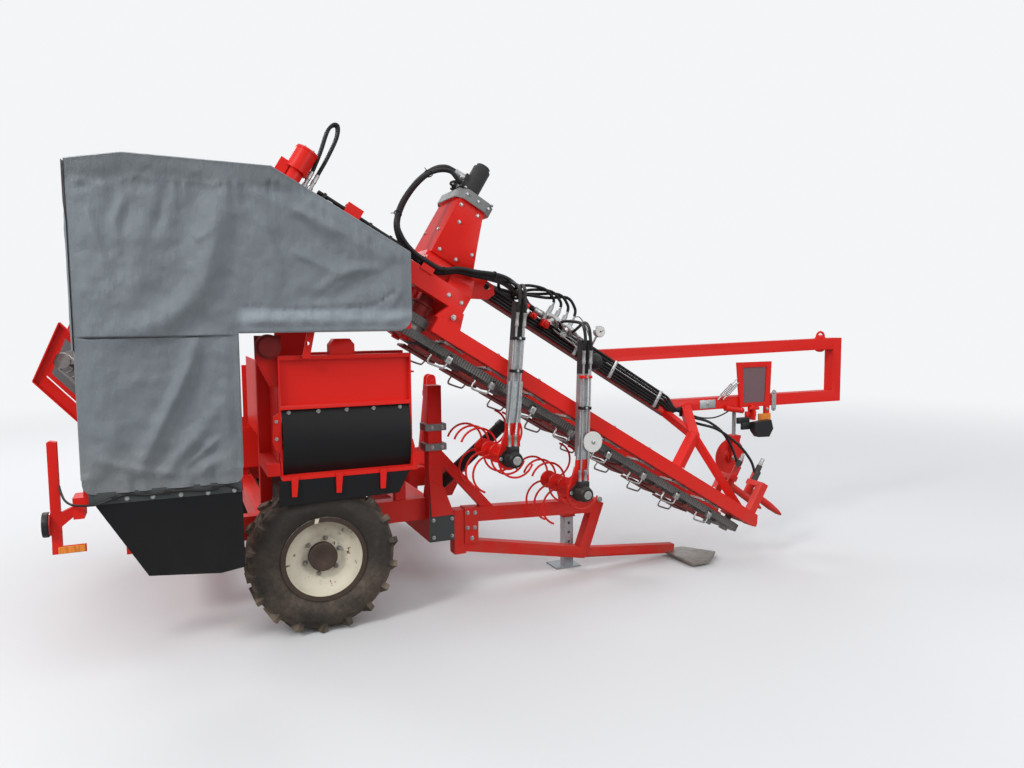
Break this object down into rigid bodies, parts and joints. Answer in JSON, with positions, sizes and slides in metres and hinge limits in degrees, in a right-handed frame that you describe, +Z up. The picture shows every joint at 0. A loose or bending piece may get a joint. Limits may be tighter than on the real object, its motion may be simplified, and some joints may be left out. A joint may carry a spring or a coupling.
{
  "type": "carrot harvester",
  "caption": "Compact towed one-row harvester that lifts carrots by their leaves, with a sloping belt element, cross web, side curtain and rear elevator.",
  "frame": {"origin": "on the ground under the middle of the overall length and width", "axes": "+X forward in the direction of travel, +Y to the left, +Z up"},
  "size_m": [5.268, 2.682, 2.5417],
  "materials": {
    "red_paint": "semi-gloss, dusty",
    "dark_paint": "satin",
    "black_rubber": "matt, dusty",
    "hose_rubber": "satin",
    "tyre_rubber": "matt, muddy",
    "cream_rim": "worn, rusty",
    "worn_steel": "worn",
    "galvanised": "galvanised, dull",
    "grey_tarpaulin": "soft PVC cloth",
    "grey_sheet": "matt",
    "red_lens": "glossy"
  },
  "bodies": {
    "chassis": {"chassis_frame": "red_paint", "axle": "dark_paint", "share_frame": "red_paint", "leg_sleeves": "red_paint", "web_housing": "red_paint", "side_panel": "red_paint", "panel_rubber": "black_rubber", "cross_web": "worn_steel", "elevator_trough": "red_paint", "elevator_lining": "grey_sheet", "elevator_web": "worn_steel", "curtain_frame": "red_paint", "side_curtain": "grey_tarpaulin", "rear_flap": "grey_tarpaulin", "rubber_skirt": "black_rubber", "lamp_brackets": "red_paint", "rear_lamps": "red_lens"},
    "headstock": {"headstock": "red_paint"},
    "wheel_right": {"tyre_right": "tyre_rubber", "rim_right": "cream_rim"},
    "wheel_left": {"tyre_left": "tyre_rubber", "rim_left": "cream_rim"},
    "leg_right": {"leg_right": "galvanised"},
    "leg_left": {"leg_left": "galvanised"},
    "lifting_element": {"element_head": "red_paint", "lower_beams": "red_paint", "lifting_belts": "black_rubber", "haulm_belts": "black_rubber", "belt_pulleys": "worn_steel", "belt_rollers": "worn_steel", "drive_box": "red_paint", "rear_motor": "red_paint", "upper_frame": "red_paint", "marker_board": "grey_sheet", "leaf_lifters": "red_paint", "shaker_posts": "galvanised", "shaker_arms": "red_paint", "shaker_motors": "dark_paint", "shaker_pipes": "galvanised", "hydraulic_block": "worn_steel", "hydraulic_lines": "hose_rubber", "drive_hose": "hose_rubber", "rear_hose_near": "hose_rubber", "rear_hose_far": "hose_rubber"},
    "shaker_rear": {"shaker_rotor_rear": "red_paint"},
    "shaker_front": {"shaker_rotor_front": "red_paint"},
    "cutting_disc": {"cutting_disc": "red_paint"},
    "lift_barrel": {"lift_barrel": "dark_paint"},
    "lift_rod": {"lift_rod": "worn_steel"}
  },
  "joints": [
    {"name": "wheel_right_spin", "type": "hinge", "parent": "chassis", "child": "wheel_right", "pos_m": [-1.216, -0.991, 0.38], "axis": [0, 1, 0], "continuous": true},
    {"name": "wheel_left_spin", "type": "hinge", "parent": "chassis", "child": "wheel_left", "pos_m": [-1.216, 1.209, 0.38], "axis": [0, 1, 0], "continuous": true},
    {"name": "element_lift", "type": "hinge", "parent": "chassis", "child": "lifting_element", "pos_m": [-1.29381, -0.941, 2.14391], "axis": [0, -1, 0], "range_deg": [0, 8]},
    {"name": "shaker_rear_spin", "type": "hinge", "parent": "lifting_element", "child": "shaker_rear", "pos_m": [-0.26, -0.991, 0.835], "axis": [0, 1, 0], "continuous": true},
    {"name": "shaker_front_spin", "type": "hinge", "parent": "lifting_element", "child": "shaker_front", "pos_m": [0.16, -0.991, 0.611], "axis": [0, 1, 0], "continuous": true},
    {"name": "cutting_disc_spin", "type": "hinge", "parent": "lifting_element", "child": "cutting_disc", "pos_m": [1.654, -0.701, 0.6], "axis": [0, 1, 0], "continuous": true},
    {"name": "headstock_swivel", "type": "hinge", "parent": "chassis", "child": "headstock", "pos_m": [-0.286, 0.559, 0.4], "axis": [0, 0, 1], "range_deg": [-20, 20]},
    {"name": "leg_right_slide", "type": "slide", "parent": "chassis", "child": "leg_right", "axis": [0, 0, 1], "range_m": [0, 0.25]},
    {"name": "leg_left_slide", "type": "slide", "parent": "chassis", "child": "leg_left", "axis": [0, 0, 1], "range_m": [0, 0.25]},
    {"name": "lift_barrel_swing", "type": "hinge", "parent": "chassis", "child": "lift_barrel", "pos_m": [-0.516, -0.676, 0.56], "axis": [0, -1, 0], "range_deg": [-1, 6]},
    {"name": "lift_rod_slide", "type": "slide", "parent": "lift_barrel", "child": "lift_rod", "axis": [0.7793, 0, 0.6266], "range_m": [0, 0.249]}
  ],
  "couplings": [
    {"joint": "lift_barrel_swing", "follows": "element_lift", "ratio": 0.50105},
    {"joint": "lift_rod_slide", "follows": "element_lift", "m_per_rad": 1.7086}
  ]
}
